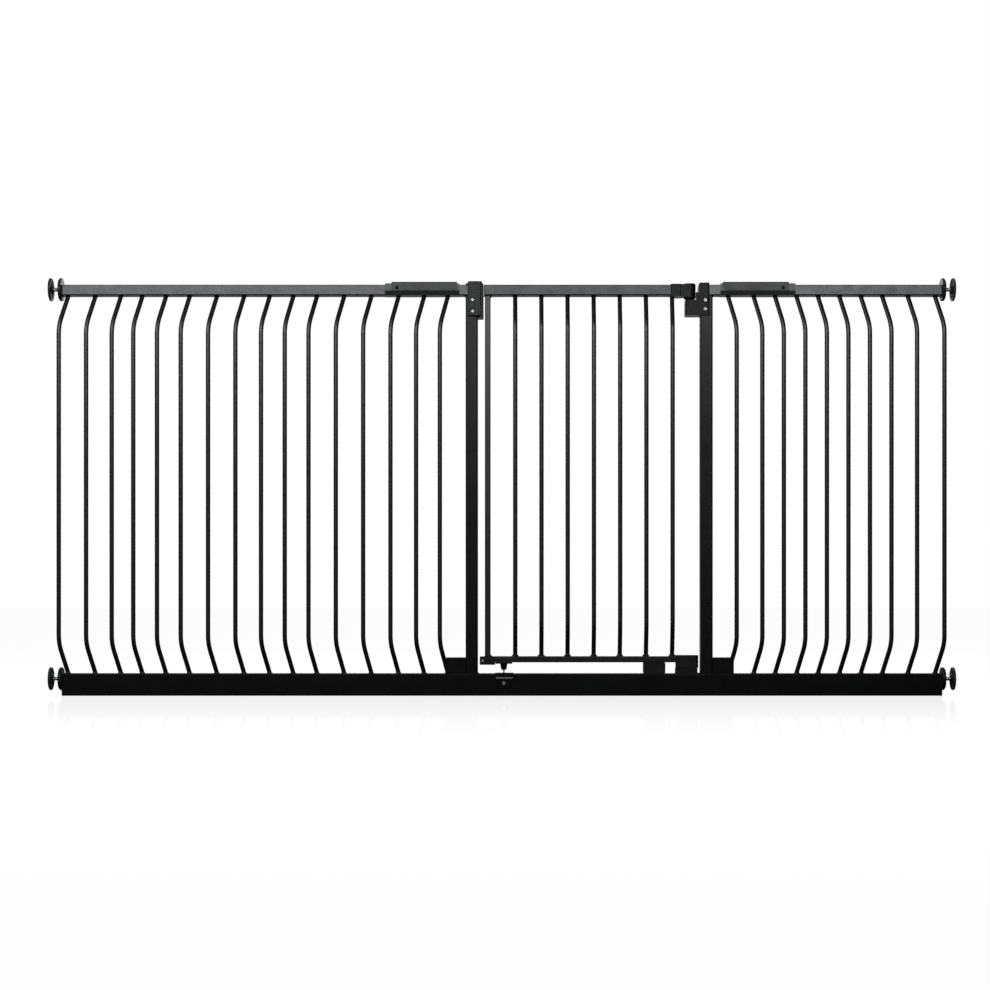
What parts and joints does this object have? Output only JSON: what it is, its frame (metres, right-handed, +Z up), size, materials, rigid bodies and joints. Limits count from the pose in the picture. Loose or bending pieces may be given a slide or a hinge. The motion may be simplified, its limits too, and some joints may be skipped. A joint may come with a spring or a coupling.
{
  "type": "safety baby gate",
  "caption": "Wide pressure-fit safety gate: metal bar door that lifts and swings both ways in a U-frame, bowed-bar side panels, and screw-out round wall pads at the corners.",
  "frame": {"origin": "on the floor, midway between the wall pads and between the front and the back", "axes": "+X along the gate towards the hinge side, +Y from the front to the back, +Z up"},
  "size_m": [2.206, 0.058, 1.018],
  "materials": {
    "powder_coat": "satin black powder coat",
    "black_plastic": "fine moulded texture",
    "housing_plastic": "fine moulded texture, satin",
    "zinc_steel": "bright zinc plate",
    "pad_rubber": "matt"
  },
  "bodies": {
    "frame": {"base_tube": "powder_coat", "bottom_rail_end_plugs": "black_plastic", "catch_plate": "powder_coat", "catch_screw": "zinc_steel", "cover_screws": "powder_coat", "hinge_bracket_screws": "zinc_steel", "joining_tubes": "powder_coat", "latch_front_cover": "housing_plastic", "latch_keeper": "housing_plastic", "latch_rear_cover": "housing_plastic", "latch_screws": "zinc_steel", "latch_top_cap": "housing_plastic", "left_foot_bracket": "powder_coat", "left_panel_bars": "powder_coat", "left_panel_bottom_rail": "powder_coat", "left_panel_top_rail": "powder_coat", "left_post": "powder_coat", "left_rail_cover": "powder_coat", "left_rail_liner": "black_plastic", "lower_hinge_seat": "black_plastic", "right_foot_bracket": "powder_coat", "right_panel_bars": "powder_coat", "right_panel_bottom_rail": "powder_coat", "right_panel_top_rail": "powder_coat", "right_post": "powder_coat", "right_rail_cover": "powder_coat", "right_rail_liner": "black_plastic", "right_stub_plug": "black_plastic", "top_rail_end_plugs": "black_plastic", "top_stubs": "powder_coat", "upper_hinge_bracket": "black_plastic"},
    "hinge_pins": {"upper_hinge_pin": "zinc_steel", "lower_hinge_pin": "zinc_steel"},
    "door": {"door_top_rail": "powder_coat", "door_bottom_rail": "powder_coat", "door_stile": "powder_coat", "door_bars": "powder_coat", "door_hinge_cap": "black_plastic", "door_latch_cap": "black_plastic", "lower_hinge_cam": "black_plastic", "door_rest_block": "black_plastic", "door_foot_fitting": "black_plastic", "foot_fitting_screws": "zinc_steel", "foot_clamp": "powder_coat", "foot_pin_guide": "black_plastic"},
    "latch_slide": {"latch_bolt": "zinc_steel", "latch_thumb_slide": "housing_plastic"},
    "drop_pin": {"foot_pin": "zinc_steel"},
    "upper_left_screw_foot": {"upper_left_spindle": "zinc_steel", "upper_left_pad": "pad_rubber"},
    "upper_left_hand_wheel": {"upper_left_wheel": "black_plastic"},
    "upper_right_screw_foot": {"upper_right_spindle": "zinc_steel", "upper_right_pad": "pad_rubber"},
    "upper_right_hand_wheel": {"upper_right_wheel": "black_plastic"},
    "lower_left_screw_foot": {"lower_left_spindle": "zinc_steel", "lower_left_pad": "pad_rubber"},
    "lower_left_hand_wheel": {"lower_left_wheel": "black_plastic"},
    "lower_right_screw_foot": {"lower_right_spindle": "zinc_steel", "lower_right_pad": "pad_rubber"},
    "lower_right_hand_wheel": {"lower_right_wheel": "black_plastic"}
  },
  "joints": [
    {"name": "door_lift", "type": "slide", "parent": "frame", "child": "hinge_pins", "axis": [0, 0, 1], "range_m": [0, 0.012]},
    {"name": "door_swing", "type": "hinge", "parent": "hinge_pins", "child": "door", "pos_m": [0.4575, 0, 0.5], "axis": [0, 0, 1], "range_deg": [-90, 90]},
    {"name": "latch_throw", "type": "slide", "parent": "frame", "child": "latch_slide", "axis": [1, 0, 0], "range_m": [0, 0.01]},
    {"name": "foot_pin_drop", "type": "slide", "parent": "door", "child": "drop_pin", "axis": [0, 0, -1], "range_m": [0, 0.008]},
    {"name": "upper_left_wheel_turn", "type": "hinge", "parent": "frame", "child": "upper_left_hand_wheel", "pos_m": [-1.0747, 0, 0.99], "axis": [-1, 0, 0], "range_deg": [-2401, 3601]},
    {"name": "upper_left_spindle_travel", "type": "slide", "parent": "frame", "child": "upper_left_screw_foot", "axis": [-1, 0, 0], "range_m": [-0.01, 0.015]},
    {"name": "upper_right_wheel_turn", "type": "hinge", "parent": "frame", "child": "upper_right_hand_wheel", "pos_m": [1.0747, 0, 0.99], "axis": [1, 0, 0], "range_deg": [-2401, 3601]},
    {"name": "upper_right_spindle_travel", "type": "slide", "parent": "frame", "child": "upper_right_screw_foot", "axis": [1, 0, 0], "range_m": [-0.01, 0.015]},
    {"name": "lower_left_wheel_turn", "type": "hinge", "parent": "frame", "child": "lower_left_hand_wheel", "pos_m": [-1.0747, 0, 0.041], "axis": [-1, 0, 0], "range_deg": [-2401, 3601]},
    {"name": "lower_left_spindle_travel", "type": "slide", "parent": "frame", "child": "lower_left_screw_foot", "axis": [-1, 0, 0], "range_m": [-0.01, 0.015]},
    {"name": "lower_right_wheel_turn", "type": "hinge", "parent": "frame", "child": "lower_right_hand_wheel", "pos_m": [1.0747, 0, 0.041], "axis": [1, 0, 0], "range_deg": [-2401, 3601]},
    {"name": "lower_right_spindle_travel", "type": "slide", "parent": "frame", "child": "lower_right_screw_foot", "axis": [1, 0, 0], "range_m": [-0.01, 0.015]}
  ],
  "couplings": [
    {"joint": "upper_left_wheel_turn", "follows": "upper_left_spindle_travel", "rad_per_m": 4188.8},
    {"joint": "upper_right_wheel_turn", "follows": "upper_right_spindle_travel", "rad_per_m": 4188.8},
    {"joint": "lower_left_wheel_turn", "follows": "lower_left_spindle_travel", "rad_per_m": 4188.8},
    {"joint": "lower_right_wheel_turn", "follows": "lower_right_spindle_travel", "rad_per_m": 4188.8}
  ]
}
